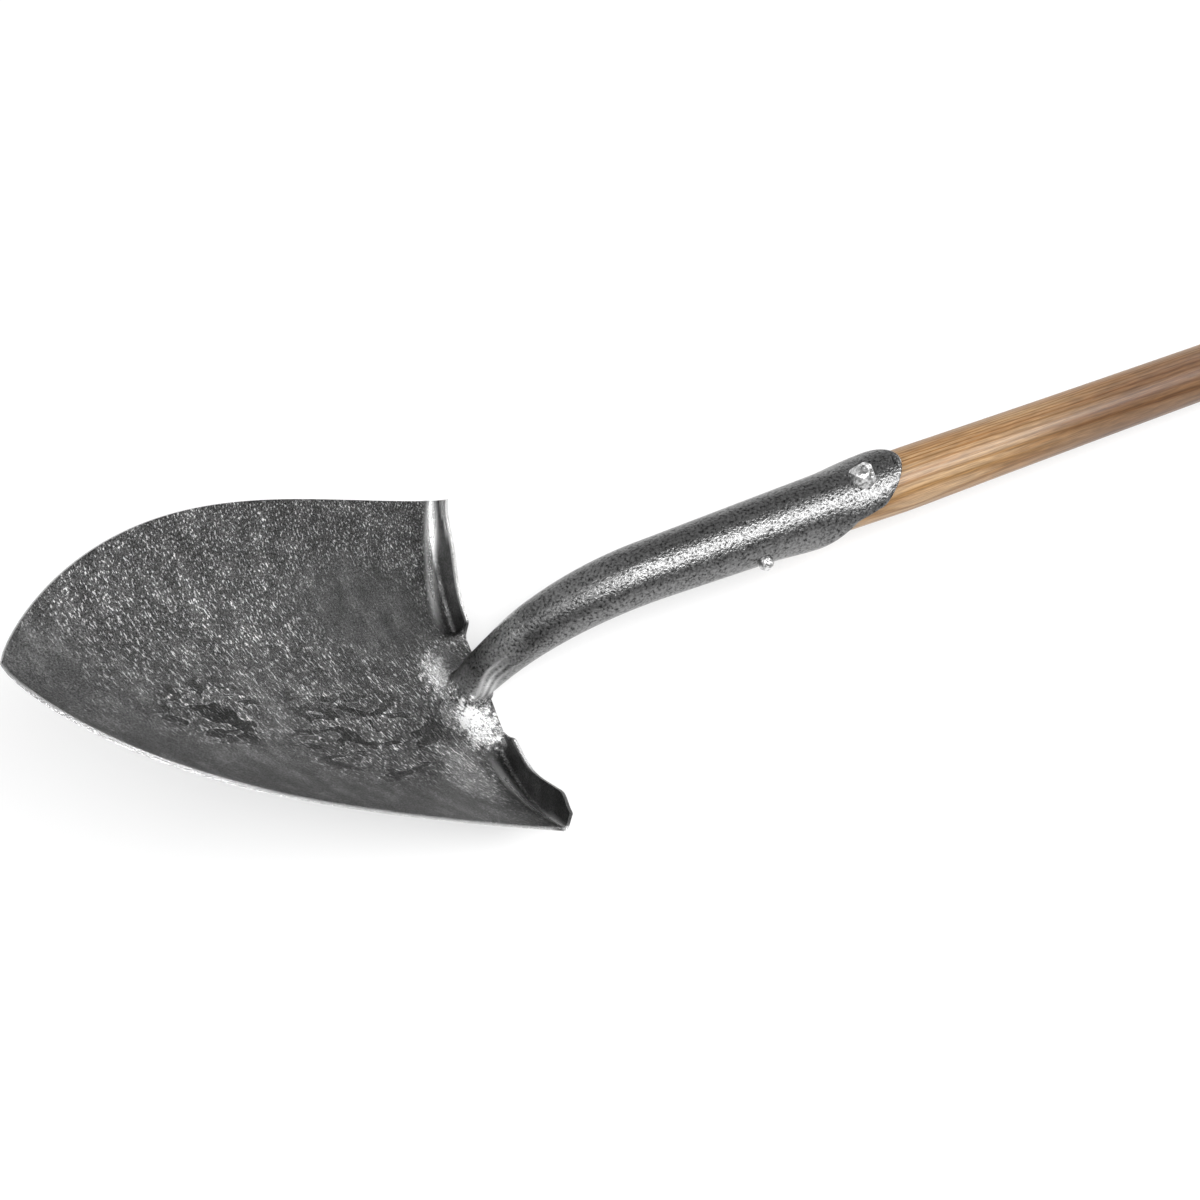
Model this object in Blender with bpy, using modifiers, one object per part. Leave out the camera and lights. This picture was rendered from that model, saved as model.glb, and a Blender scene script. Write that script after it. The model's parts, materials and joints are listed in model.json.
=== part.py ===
"""Forestry shovel, lying on its back as it would on the ground.

The blade, its two foot steps, the neck and the socket are one steel forging. A
turned ash handle is driven into the socket, and two rivets hold it there.

Units are metres. Every piece is modelled in the handle's own frame: +X runs
along the handle from the blade's shoulders to the butt, Z = 0 is the handle's
axis, +Z is the front of the shovel and Y = 0 is its mirror plane. An empty then
tips the whole shovel until the heel of the blade and the butt of the handle
touch the ground, with the middle of the ground plan at the world origin.
"""

import math

import bmesh
import bpy
from mathutils import Matrix, Vector

# Blade: its own directions are "up the blade" (shoulders to tip), "across" and "front"
BLADE_LENGTH = 0.292
BLADE_HALF_WIDTH = 0.1175
BLADE_LIFT = math.radians(37.4)
SHOULDER_DROP = 0.0396
SHEET = 0.0021
OUTLINE_WEDGE = 0.31
OUTLINE_FULLNESS = 4.33
TIP_SHARPNESS = 0.77
DISH_DEPTH = 0.0446
DISH_CURVE = 1.1
DISH_ROUND = 2.0
DISH_FLATTER_AT_HEEL = 0.8
HEEL_BOW = 0.0156
HEEL_BOW_FADE = 5
EDGE_RISE = 0.0133
EDGE_RISE_SKEW = -1.5

# Foot steps, turned forward from the blade's heel
STEP_HEIGHT = 0.0195
STEP_FROM = 0.034
STEP_TO = 0.044
STEP_END_FROM = 0.094
STEP_END_LOSS = 0.30
STEP_BEND = 0.0045
STEP_BEND_SHARE = 0.5
STEP_END_SLANT = 0.65

# Fan: between the steps the sheet sweeps forward to the heel's edge, furthest in line with the neck
FAN_RISE = 0.009
FAN_LENGTH = 0.048
FAN_SIDE_LENGTH = 0.024
FAN_SPREAD = 0.022
FAN_LAST = 0.014

# Neck: a round bar bent on one radius
NECK_START = 0.100
NECK_BEND = 0.135
NECK_TURN = math.radians(62.0)
NECK_ROOT_RADIUS = 0.0122
NECK_TAPER_CURVE = 1.5
KNEE_DROP = 0.0155

# Heel rib: the neck's metal, drawn out along the back of the blade
RIB_START = 0.011
RIB_END = 0.098
RIB_RISE = 0.0055
RIB_RISE_CURVE = 1.2
RIB_HALF_WIDTH = 0.0140
RIB_END_HALF_WIDTH = 0.0050

# Socket: its end is a tongue in front, falls away over two hips, and is cut back at the rear
SOCKET_END = 0.2613
SOCKET_BACK_CUT = 0.058
SOCKET_BACK_CURVE = 1.8
SOCKET_HIP = 0.0125
SOCKET_HIP_FROM = math.radians(62.0)
SOCKET_HIP_TO = math.radians(77.0)
TONGUE_TURN = math.radians(9.0)
SOCKET_MOUTH_RADIUS = 0.0222
SOCKET_NECK_RADIUS = 0.0184
SOCKET_FLARE = 0.0016
SOCKET_FLARE_LENGTH = 0.032
FLARE_SOFTNESS = math.radians(30.0)
SOCKET_SEAM = 0.0016
BORE_BOTTOM = 0.105
BORE_MOUTH_RADIUS = 0.0194
BORE_BOTTOM_RADIUS = 0.0156

# Handle
HANDLE_END = 1.190
HANDLE_SLIM_RADIUS = 0.0156
HANDLE_SWELL = 0.0041
HANDLE_SWELL_LENGTH = 0.240
BUTT_FLAT_RADIUS = 0.0085

# Rivets
FRONT_RIVET_AT = 0.235
FRONT_RIVET_HEAD = 0.0086
FRONT_RIVET_CROWN = 0.0084
FRONT_RIVET_TAIL = 0.0055
FRONT_RIVET_TAIL_CROWN = 0.0026
SIDE_RIVET_AT = 0.165
SIDE_RIVET_HEAD = 0.0049
SIDE_RIVET_CROWN = 0.0059
SIDE_RIVET_TAIL = 0.0042
SIDE_RIVET_TAIL_CROWN = 0.0012
RIVET_SHANK = 0.0030
RIM_SHARE = 0.22
HEAD_SINK = 0.0025

# Clearance between touching pieces, and the wood's short end and shoulder
FIT = 0.0003
WOOD_SHORT = 0.002
WOOD_CHAMFER = 0.003
WOOD_STEP = 0.010

# How far blanks and cutters run past the socket's end, where its flared rings start, and the seam
SPARE = 0.016
OVERRUN = 0.040
SOCKET_FLARED_FROM = 0.157
SEAM_FROM = 0.117

# Fineness of the surfaces
TIP_ROWS = 18
TIP_ROWS_SPREAD = 1.2
HEEL_ROWS = 9
HEEL_ROWS_FROM = 0.80
HEEL_SHARES = (0.0, 0.13, 0.26, 0.38, 0.5, 0.75, 1.0)
BLADE_COLUMNS = (5, 5, 9)
ROUND = 40
RING_GAP = 0.009
NECK_STEPS = 10
KNEE_STEPS = 8
RIB_STEPS = 8
END_STEPS = 111
SHAFT_STEPS = 12
SHAFT_STEPS_SPREAD = 1.6
BUTT_STEPS = 6
RIVET_SIDES = 24
DOME_STEPS = 7


def clear_scene():
    for item in list(bpy.data.objects):
        bpy.data.objects.remove(item, do_unlink=True)


def new_collection(name):
    made = bpy.data.collections.new(name)
    bpy.context.scene.collection.children.link(made)
    return made


def steel_material(name, colour, roughness):
    made = bpy.data.materials.new(name)
    made.use_nodes = True
    shader = made.node_tree.nodes["Principled BSDF"]
    shader.inputs["Base Color"].default_value = (*colour, 1.0)
    shader.inputs["Roughness"].default_value = roughness
    shader.inputs["Metallic"].default_value = 1.0
    return made


def wood_material():
    made = bpy.data.materials.new("ash_wood")
    made.use_nodes = True
    shader = made.node_tree.nodes["Principled BSDF"]
    shader.inputs["Base Color"].default_value = (0.58, 0.37, 0.18, 1.0)
    shader.inputs["Roughness"].default_value = 0.45
    shader.inputs["Metallic"].default_value = 0.0
    return made


def object_from_bmesh(mesh_data, name, collection):
    mesh = bpy.data.meshes.new(name)
    mesh_data.to_mesh(mesh)
    mesh_data.free()
    made = bpy.data.objects.new(name, mesh)
    collection.objects.link(made)
    return made


def hide_helper(helper):
    helper.hide_render = True
    helper.display_type = "WIRE"


def smooth(piece, angle=math.radians(35.0)):
    piece.data.shade_smooth()
    piece.data.set_sharp_from_angle(angle=angle)


def boolean(piece, operation, helper):
    modifier = piece.modifiers.new(f"{operation.lower()}_{helper.name}", "BOOLEAN")
    modifier.operation = operation
    modifier.solver = "EXACT"
    modifier.object = helper


def smoothstep(value):
    value = min(1.0, max(0.0, value))
    return value * value * (3.0 - 2.0 * value)


# The blade's surface


def blade_point(up, across, front):
    """A point given in the blade's directions, in the handle's frame."""
    x = -up * math.cos(BLADE_LIFT) + front * math.sin(BLADE_LIFT)
    z = up * math.sin(BLADE_LIFT) + front * math.cos(BLADE_LIFT) - SHOULDER_DROP
    return Vector((x, across, z))


def half_width(run):
    """Half the blade's width. run goes from 0 at the tip to 1 at the shoulders."""
    bulge = (1.0 - (1.0 - run) ** OUTLINE_FULLNESS) ** TIP_SHARPNESS
    return BLADE_HALF_WIDTH * (OUTLINE_WEDGE * run + (1.0 - OUTLINE_WEDGE) * bulge)


def middle_front(run):
    """How far the middle of the dish lies in front of the tip. It is negative, because the dish is hollow."""
    return -DISH_DEPTH * run**DISH_CURVE


def beside_steps(across):
    """1 in the fan between the steps, and 0 where a step stands."""
    return 1.0 - smoothstep((across - STEP_FROM) / (STEP_TO - STEP_FROM))


def fan_front(away, across):
    """How far the fan lifts the sheet, at this distance from the heel's edge."""
    length = FAN_SIDE_LENGTH + (FAN_LENGTH - FAN_SIDE_LENGTH) * math.exp(-((across / FAN_SPREAD) ** 2))
    return FAN_RISE * beside_steps(across) * max(0.0, 1.0 - away / length) ** 2


def edge_front(run):
    return EDGE_RISE * 4.0 * run * (1.0 - run) * (1.0 + EDGE_RISE_SKEW * (run - 0.5))


def dish(run, side):
    """(up, across, front) of the blade's back face. side goes from 0 in the middle to 1 at the edge."""
    flatness = DISH_ROUND + DISH_FLATTER_AT_HEEL * run
    middle = middle_front(run)
    front = middle + (edge_front(run) - middle) * side**flatness
    heel_up = -HEEL_BOW * (1.0 - side * side)
    up = BLADE_LENGTH * (1.0 - run) + heel_up * run**HEEL_BOW_FADE
    across = half_width(run) * side
    return up, across, front + fan_front(up - heel_up, across)


def heel_start(side):
    """The run at which the heel's rows take over: wide of the fan's edge, close to a step's bend."""
    fan = beside_steps(BLADE_HALF_WIDTH * side)
    return 1.0 - (STEP_BEND + (FAN_LAST - STEP_BEND) * fan) / BLADE_LENGTH


def step_point(side, share):
    """A point of a foot step. share goes from 0 where its bend starts to 1 at its outer edge."""
    up, across, front = dish(1.0, side)
    end = smoothstep((across - STEP_END_FROM) / (BLADE_HALF_WIDTH - STEP_END_FROM))
    height = STEP_HEIGHT * (1.0 - STEP_END_LOSS * end)
    if share <= STEP_BEND_SHARE:
        angle = math.radians(90.0) * share / STEP_BEND_SHARE
        up_shift = STEP_BEND * (1.0 - math.sin(angle))
        rise = STEP_BEND * (1.0 - math.cos(angle))
    else:
        up_shift = 0.0
        rise = STEP_BEND + (height - STEP_BEND) * (share - STEP_BEND_SHARE) / (1.0 - STEP_BEND_SHARE)
    slant = 1.0 - STEP_END_SLANT * rise * side**4 / BLADE_HALF_WIDTH
    return Vector((up + up_shift, across * slant, front + rise))


def heel_point(side, share):
    """A point of the heel's last rows, which are the fan in the middle and a step on either side."""
    start = heel_start(side)
    fan = beside_steps(BLADE_HALF_WIDTH * side)
    on_fan = Vector(dish(start + (1.0 - start) * share, side))
    return step_point(side, share).lerp(on_fan, fan)


def blade_sides():
    """Where the columns of the half blade lie, from its middle to its edge, closest at a step's start."""
    stops = (0.0, STEP_FROM / BLADE_HALF_WIDTH, STEP_TO / BLADE_HALF_WIDTH, 1.0)
    sides = [0.0]
    for start, stop, count in zip(stops, stops[1:], BLADE_COLUMNS):
        sides += [start + (stop - start) * (step + 1) / count for step in range(count)]
    return sides


def blade_sheet(helpers):
    """The stamped plate: the back of a dished half and its step, mirrored, then thickened to the front."""
    mesh = bmesh.new()
    sides = blade_sides()
    runs = [HEEL_ROWS_FROM * (row / TIP_ROWS) ** TIP_ROWS_SPREAD for row in range(TIP_ROWS)]
    runs += [HEEL_ROWS_FROM + (1.0 - HEEL_ROWS_FROM) * row / HEEL_ROWS for row in range(HEEL_ROWS)]
    grid = [[dish(run * heel_start(side), side) for side in sides] for run in runs]
    grid += [[heel_point(side, share) for side in sides] for share in HEEL_SHARES]
    rows = [[mesh.verts.new(blade_point(*point)) for point in row] for row in grid]
    for lower, upper in zip(rows, rows[1:]):
        for column in range(len(sides) - 1):
            mesh.faces.new((lower[column], lower[column + 1], upper[column + 1], upper[column]))
    bmesh.ops.remove_doubles(mesh, verts=mesh.verts, dist=1e-6)
    bmesh.ops.dissolve_degenerate(mesh, edges=mesh.edges, dist=1e-6)
    sheet = object_from_bmesh(mesh, "blade_sheet", helpers)
    smooth(sheet)
    mirror = sheet.modifiers.new("other_half", "MIRROR")
    mirror.use_axis = (False, True, False)
    mirror.use_clip = True
    mirror.merge_threshold = 0.0001
    wall = sheet.modifiers.new("thickness", "SOLIDIFY")
    wall.thickness = SHEET
    wall.offset = -1.0
    wall.use_even_offset = True
    hide_helper(sheet)
    return sheet


# The neck, from the socket's mouth to the end of the rib behind the blade


def socket_end_at(angle, softness):
    """Where the socket ends, at this angle from the front towards +Y. softness widens the hips."""
    around = math.acos(math.cos(angle - TONGUE_TURN))
    fall = SOCKET_BACK_CUT * math.sin(around / 2.0) ** SOCKET_BACK_CURVE
    hip_from = SOCKET_HIP_FROM - softness
    hip_to = SOCKET_HIP_TO + softness
    return SOCKET_END - fall - SOCKET_HIP * smoothstep((around - hip_from) / (hip_to - hip_from))


def socket_radius(x):
    """Outer radius of the socket where it isn't flared."""
    share = (x - NECK_START) / (SOCKET_END - NECK_START)
    return SOCKET_NECK_RADIUS + (SOCKET_MOUTH_RADIUS - SOCKET_NECK_RADIUS) * share


def bore_radius(x):
    share = (x - BORE_BOTTOM) / (SOCKET_END - BORE_BOTTOM)
    return BORE_BOTTOM_RADIUS + (BORE_MOUTH_RADIUS - BORE_BOTTOM_RADIUS) * share


def socket_ring(x, radius, flare):
    """A ring round the handle's axis that stands off the wood close to the socket's end."""
    ring = []
    for step in range(ROUND):
        angle = math.tau * step / ROUND
        near_end = smoothstep(1.0 - (socket_end_at(angle, FLARE_SOFTNESS) - x) / SOCKET_FLARE_LENGTH)
        reach = radius + flare * near_end
        ring.append(Vector((x, reach * math.sin(angle), reach * math.cos(angle))))
    return ring


def socket_stations(low, high):
    """Places of the rings between low and high, from high to low."""
    count = math.ceil((high - low) / RING_GAP)
    return [high + (low - high) * step / count for step in range(count + 1)]


def loft(name, rings, helpers):
    """A closed solid through rings of ROUND points, kept among the helpers."""
    mesh = bmesh.new()
    rows = [[mesh.verts.new(point) for point in ring] for ring in rings]
    for near, far in zip(rows, rows[1:]):
        for step in range(ROUND):
            after = (step + 1) % ROUND
            mesh.faces.new((near[step], near[after], far[after], far[step]))
    mesh.faces.new(rows[0])
    mesh.faces.new(rows[-1])
    bmesh.ops.recalc_face_normals(mesh, faces=mesh.faces)
    solid = object_from_bmesh(mesh, name, helpers)
    hide_helper(solid)
    return solid


def section(front, back, width):
    """A ring in the plane of the line front to back and the Y axis."""
    middle = (front + back) / 2.0
    along = (front - back) / 2.0
    ring = []
    for step in range(ROUND):
        angle = math.tau * step / ROUND
        ring.append(middle + along * math.cos(angle) + Vector((0.0, width * math.sin(angle), 0.0)))
    return ring


def neck_section(angle):
    """A round section of the neck at this turn of its bend."""
    share = angle / NECK_TURN
    radius = SOCKET_NECK_RADIUS + (NECK_ROOT_RADIUS - SOCKET_NECK_RADIUS) * share**NECK_TAPER_CURVE
    outwards = Vector((-math.sin(angle), 0.0, math.cos(angle)))
    middle = Vector((NECK_START, 0.0, -NECK_BEND)) + outwards * NECK_BEND
    return middle + outwards * radius, middle - outwards * radius, radius


def rib_section(share):
    """A section of the rib, from inside the sheet to as far as the rib stands out behind it."""
    up = RIB_START + (RIB_END - RIB_START) * share
    back_face = middle_front(1.0 - up / BLADE_LENGTH) + fan_front(up + HEEL_BOW, 0.0)
    inside = blade_point(up, 0.0, back_face + 0.5 * SHEET)
    behind = blade_point(up, 0.0, back_face - RIB_RISE * (1.0 - share) ** RIB_RISE_CURVE)
    width = RIB_HALF_WIDTH + (RIB_END_HALF_WIDTH - RIB_HALF_WIDTH) * share
    return inside, behind, width


def knee_section(share):
    """The fan of sections that turns the neck's foot into the rib, about a point inside the sheet."""
    neck_front, neck_back, neck_width = neck_section(NECK_TURN)
    rib_front, rib_back, rib_width = rib_section(0.0)
    rest = 1.0 - share
    corner = blade_point(-KNEE_DROP, 0.0, middle_front(1.0) - SHEET - RIB_RISE)
    back = neck_back * rest * rest + corner * 2.0 * rest * share + rib_back * share * share
    front = neck_front.lerp(rib_front, 0.9 * min(1.0, 3.0 * share) + 0.1 * share)
    width = neck_width * rest + rib_width * share
    return front, back, width


def neck_solid(helpers):
    """Socket, neck, knee and rib as one loft of rings, closed at both ends."""
    flared = socket_stations(SOCKET_FLARED_FROM, SOCKET_END + SPARE)
    rings = [socket_ring(x, socket_radius(x), SOCKET_FLARE) for x in flared]
    for step in range(NECK_STEPS + 1):
        rings.append(section(*neck_section(NECK_TURN * step / NECK_STEPS)))
    for step in range(1, KNEE_STEPS):
        rings.append(section(*knee_section(step / KNEE_STEPS)))
    for step in range(RIB_STEPS + 1):
        rings.append(section(*rib_section(step / RIB_STEPS)))
    return loft("neck_solid", rings, helpers)


# Cutters


def turned(name, profile, steps, collection):
    """A closed turned solid about Z, from (radius, height) points that run from top to bottom."""
    mesh = bmesh.new()
    verts = [mesh.verts.new((radius, 0.0, height)) for radius, height in profile]
    for first, second in zip(verts, verts[1:]):
        mesh.edges.new((first, second))
    made = object_from_bmesh(mesh, name, collection)
    screw = made.modifiers.new("turn", "SCREW")
    screw.axis = "Z"
    screw.steps = steps
    screw.render_steps = steps
    screw.use_merge_vertices = True
    screw.merge_threshold = 0.00005
    return made


def along_handle(piece):
    """Turns a piece that was made about Z, so that its top points along +X."""
    piece.rotation_euler = (0.0, math.radians(90.0), 0.0)


def plug_cutter(name, radius_at, flare, grow, helpers):
    """A tapered plug round the handle's axis, used as the bore and as the seat of rivet heads."""
    flared = socket_stations(SOCKET_FLARED_FROM, SOCKET_END + OVERRUN)
    rings = [socket_ring(x, radius_at(x) + grow, flare) for x in flared + [BORE_BOTTOM]]
    return loft(name, rings, helpers)


def socket_end_cutter(helpers):
    """A thick tube whose near end follows the shape of the socket's end."""
    inner = 0.5 * BORE_BOTTOM_RADIUS
    outer = 1.5 * SOCKET_MOUTH_RADIUS
    far = SOCKET_END + OVERRUN
    mesh = bmesh.new()
    rings = [[], [], [], []]
    for step in range(END_STEPS):
        angle = math.tau * (step + 0.5) / END_STEPS
        spot = Vector((0.0, math.sin(angle), math.cos(angle)))
        near = Vector((socket_end_at(angle, 0.0), 0.0, 0.0))
        end = Vector((far, 0.0, 0.0))
        corners = (near + spot * inner, near + spot * outer, end + spot * outer, end + spot * inner)
        for ring, corner in zip(rings, corners):
            ring.append(mesh.verts.new(corner))
    for first, second in zip(rings, rings[1:] + rings[:1]):
        for step in range(END_STEPS):
            after = (step + 1) % END_STEPS
            mesh.faces.new((first[step], first[after], second[after], second[step]))
    bmesh.ops.recalc_face_normals(mesh, faces=mesh.faces)
    made = object_from_bmesh(mesh, "socket_end_cutter", helpers)
    hide_helper(made)
    return made


def seam_cutter(helpers):
    """The narrow slot that the rolled wings of the socket leave at the back."""
    low = SEAM_FROM
    high = SOCKET_END + OVERRUN
    depth = SOCKET_MOUTH_RADIUS
    mesh = bmesh.new()
    bmesh.ops.create_cube(mesh, size=1.0)
    bmesh.ops.scale(mesh, verts=mesh.verts, vec=(high - low, SOCKET_SEAM, depth))
    bmesh.ops.translate(mesh, verts=mesh.verts, vec=((low + high) / 2.0, 0.0, -depth))
    made = object_from_bmesh(mesh, "seam_cutter", helpers)
    hide_helper(made)
    return made


def hole_cutter(name, x, sideways, helpers):
    """A drilled hole for a rivet's shank, front to back or side to side."""
    mesh = bmesh.new()
    radius = RIVET_SHANK + FIT
    length = 4.0 * SOCKET_MOUTH_RADIUS
    bmesh.ops.create_cone(
        mesh, cap_ends=True, segments=RIVET_SIDES, radius1=radius, radius2=radius, depth=length
    )
    if sideways:
        bmesh.ops.rotate(mesh, verts=mesh.verts, matrix=Matrix.Rotation(math.radians(90.0), 3, "X"))
    bmesh.ops.translate(mesh, verts=mesh.verts, vec=(x, 0.0, 0.0))
    made = object_from_bmesh(mesh, name, helpers)
    hide_helper(made)
    return made


# The pieces


def make_forging(parts, helpers, holes):
    """Neck and socket joined to the blade, then bored, slotted, trimmed and drilled."""
    forging = neck_solid(helpers)
    forging.name = "blade_and_socket"
    helpers.objects.unlink(forging)
    parts.objects.link(forging)
    forging.hide_render = False
    forging.display_type = "TEXTURED"
    boolean(forging, "UNION", blade_sheet(helpers))
    boolean(forging, "DIFFERENCE", plug_cutter("bore_cutter", bore_radius, SOCKET_FLARE, 0.0, helpers))
    boolean(forging, "DIFFERENCE", socket_end_cutter(helpers))
    boolean(forging, "DIFFERENCE", seam_cutter(helpers))
    for hole in holes:
        boolean(forging, "DIFFERENCE", hole)
    smooth(forging)
    forging.data.materials.append(steel_material("forged_steel", (0.17, 0.17, 0.175), 0.42))
    return forging


def handle_radius(x):
    """The ash stick beyond the socket: thickest at the socket and slimmer along its length."""
    return HANDLE_SLIM_RADIUS + HANDLE_SWELL * math.exp(-(x - FRONT_RIVET_AT) / HANDLE_SWELL_LENGTH)


def make_handle(parts, holes):
    """A turned stick: tapered end in the socket, long slim shaft, rounded butt with a small flat."""
    low = BORE_BOTTOM + WOOD_SHORT
    butt_radius = handle_radius(HANDLE_END) - BUTT_FLAT_RADIUS
    profile = [(0.0, HANDLE_END), (BUTT_FLAT_RADIUS, HANDLE_END)]
    for step in range(1, BUTT_STEPS + 1):
        angle = math.radians(90.0) * step / BUTT_STEPS
        round_x = HANDLE_END - butt_radius * (1.0 - math.cos(angle))
        profile.append((BUTT_FLAT_RADIUS + butt_radius * math.sin(angle), round_x))
    shaft_low = SOCKET_END + WOOD_STEP
    shaft_high = HANDLE_END - butt_radius - WOOD_STEP
    for step in range(SHAFT_STEPS + 1):
        share = ((SHAFT_STEPS - step) / SHAFT_STEPS) ** SHAFT_STEPS_SPREAD
        x = shaft_low + (shaft_high - shaft_low) * share
        profile.append((handle_radius(x), x))
    profile.append((bore_radius(SOCKET_END) - FIT, SOCKET_END))
    profile.append((bore_radius(low + WOOD_CHAMFER) - FIT, low + WOOD_CHAMFER))
    profile.append((bore_radius(low) - FIT - WOOD_CHAMFER, low))
    profile.append((0.0, low))
    handle = turned("handle", profile, ROUND, parts)
    along_handle(handle)
    for hole in holes:
        boolean(handle, "DIFFERENCE", hole)
    smooth(handle)
    handle.data.materials.append(wood_material())
    return handle


def seated_head(name, x, turn, radius, crown, base, seat, helpers):
    """A dome on a low rim, cut to the round surface that it is hammered down on."""
    rim = crown * RIM_SHARE
    dome = crown - rim
    profile = []
    for step in range(DOME_STEPS + 1):
        angle = math.radians(90.0) * step / DOME_STEPS
        profile.append((radius * math.sin(angle), base + rim + dome * math.cos(angle)))
    profile.append((radius, base - HEAD_SINK))
    profile.append((0.0, base - HEAD_SINK))
    head = turned(name, profile, RIVET_SIDES, helpers)
    head.location = (x, 0.0, 0.0)
    head.rotation_euler = (turn, 0.0, 0.0)
    boolean(head, "DIFFERENCE", seat)
    hide_helper(head)
    return head


def make_rivet(name, x, turn, head, tail, parts, helpers):
    """A pin with a domed head and a peened tail, each given as (radius, crown, height of its seat, seat)."""
    mesh = bmesh.new()
    length = head[2] + tail[2] + HEAD_SINK
    bmesh.ops.create_cone(
        mesh, cap_ends=True, segments=RIVET_SIDES, radius1=RIVET_SHANK, radius2=RIVET_SHANK, depth=length
    )
    half_side = Matrix.Rotation(math.pi / RIVET_SIDES, 3, "Z")
    bmesh.ops.rotate(mesh, verts=mesh.verts, matrix=half_side)
    bmesh.ops.translate(mesh, verts=mesh.verts, vec=(0.0, 0.0, (head[2] - tail[2]) / 2.0))
    rivet = object_from_bmesh(mesh, name, parts)
    rivet.location = (x, 0.0, 0.0)
    rivet.rotation_euler = (turn, 0.0, 0.0)
    boolean(rivet, "UNION", seated_head(f"{name}_head", x, turn, *head, helpers))
    boolean(rivet, "UNION", seated_head(f"{name}_tail", x, turn + math.pi, *tail, helpers))
    smooth(rivet)
    rivet.data.materials.append(steel_material(name + "_steel", (0.52, 0.52, 0.53), 0.35))
    return rivet


def make_rivets(parts, helpers):
    """The front rivet is peened on the wood behind the cut-back socket, the side rivet on the socket."""
    socket = plug_cutter("socket_seat", socket_radius, SOCKET_FLARE, FIT, helpers)
    wood = plug_cutter("wood_seat", bore_radius, 0.0, 0.0, helpers)
    front_seat = socket_radius(FRONT_RIVET_AT)
    side_seat = socket_radius(SIDE_RIVET_AT)
    front_head = (FRONT_RIVET_HEAD, FRONT_RIVET_CROWN, front_seat, socket)
    front_tail = (FRONT_RIVET_TAIL, FRONT_RIVET_TAIL_CROWN, bore_radius(FRONT_RIVET_AT), wood)
    side_head = (SIDE_RIVET_HEAD, SIDE_RIVET_CROWN, side_seat, socket)
    side_tail = (SIDE_RIVET_TAIL, SIDE_RIVET_TAIL_CROWN, side_seat, socket)
    return [
        make_rivet("front_rivet", FRONT_RIVET_AT, 0.0, front_head, front_tail, parts, helpers),
        make_rivet("side_rivet", SIDE_RIVET_AT, math.pi / 2.0, side_head, side_tail, parts, helpers),
    ]


# Laying the shovel on the ground


def outline_points(piece):
    """(x, z) of every vertex of the finished piece, in the handle's frame."""
    finished = piece.evaluated_get(bpy.context.evaluated_depsgraph_get())
    mesh = finished.to_mesh()
    places = [finished.matrix_world @ vertex.co for vertex in mesh.vertices]
    finished.to_mesh_clear()
    return [(place.x, place.z) for place in places]


def lowest(points, tip):
    return min(z * math.cos(tip) - x * math.sin(tip) for x, z in points)


def resting_tip(blade_points, handle_points):
    """The angle at which the blade's heel and the handle's butt touch the ground together."""
    low, high = 0.0, math.radians(20.0)
    for _ in range(40):
        tip = (low + high) / 2.0
        if lowest(handle_points, tip) > lowest(blade_points, tip):
            low = tip
        else:
            high = tip
    return (low + high) / 2.0


def lay_down(pieces, helpers_collection, parts):
    bpy.context.view_layer.update()
    blade_points = outline_points(pieces[0])
    handle_points = outline_points(pieces[1])
    tip = resting_tip(blade_points, handle_points)
    spread = [x * math.cos(tip) + z * math.sin(tip) for x, z in blade_points + handle_points]
    ground = min(lowest(blade_points, tip), lowest(handle_points, tip))
    stand = bpy.data.objects.new("shovel_on_the_ground", None)
    parts.objects.link(stand)
    stand.rotation_euler = (0.0, tip, 0.0)
    stand.location = (-(min(spread) + max(spread)) / 2.0, 0.0, -ground)
    for item in pieces + list(helpers_collection.objects):
        item.parent = stand


def main():
    clear_scene()
    parts = new_collection("forestry_shovel")
    helpers = new_collection("cutters")
    helpers.hide_render = True
    holes = [
        hole_cutter("front_rivet_hole", FRONT_RIVET_AT, False, helpers),
        hole_cutter("side_rivet_hole", SIDE_RIVET_AT, True, helpers),
    ]
    forging = make_forging(parts, helpers, holes)
    handle = make_handle(parts, holes)
    rivets = make_rivets(parts, helpers)
    lay_down([forging, handle, *rivets], helpers, parts)


main()
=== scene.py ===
"""Looks of a long handled forestry shovel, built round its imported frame."""
import math
import json

import bmesh
import bpy
from mathutils import Euler, Matrix, Vector


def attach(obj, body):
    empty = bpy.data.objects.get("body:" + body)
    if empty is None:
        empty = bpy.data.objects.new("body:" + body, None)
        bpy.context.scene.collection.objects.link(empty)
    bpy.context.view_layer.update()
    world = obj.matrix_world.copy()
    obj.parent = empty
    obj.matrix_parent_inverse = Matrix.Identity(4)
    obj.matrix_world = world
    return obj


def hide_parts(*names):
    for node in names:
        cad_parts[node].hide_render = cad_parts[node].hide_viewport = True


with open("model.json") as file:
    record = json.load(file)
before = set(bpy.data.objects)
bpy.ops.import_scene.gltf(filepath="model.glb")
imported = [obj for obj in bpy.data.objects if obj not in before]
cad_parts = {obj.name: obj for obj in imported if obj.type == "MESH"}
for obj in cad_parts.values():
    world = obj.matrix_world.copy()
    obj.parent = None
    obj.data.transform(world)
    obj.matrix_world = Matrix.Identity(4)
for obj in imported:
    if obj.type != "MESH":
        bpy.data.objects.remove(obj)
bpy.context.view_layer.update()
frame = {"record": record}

# The shovel lies on its back, tipped until the blade's heel and the butt of the handle touch the
# ground. Its pieces are shaped along the handle, with +X to the butt and +Z to the front, then laid.
butt = frame["record"]["mounts"][0]
BUTT_AT = 1.190
lying_angle = math.atan2(-butt["axis"][2], butt["axis"][0])
lying = (
    Matrix.Translation(Vector(butt["pos_m"]))
    @ Matrix.Rotation(lying_angle, 4, "Y")
    @ Matrix.Translation((-BUTT_AT, 0.0, 0.0))
)

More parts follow.
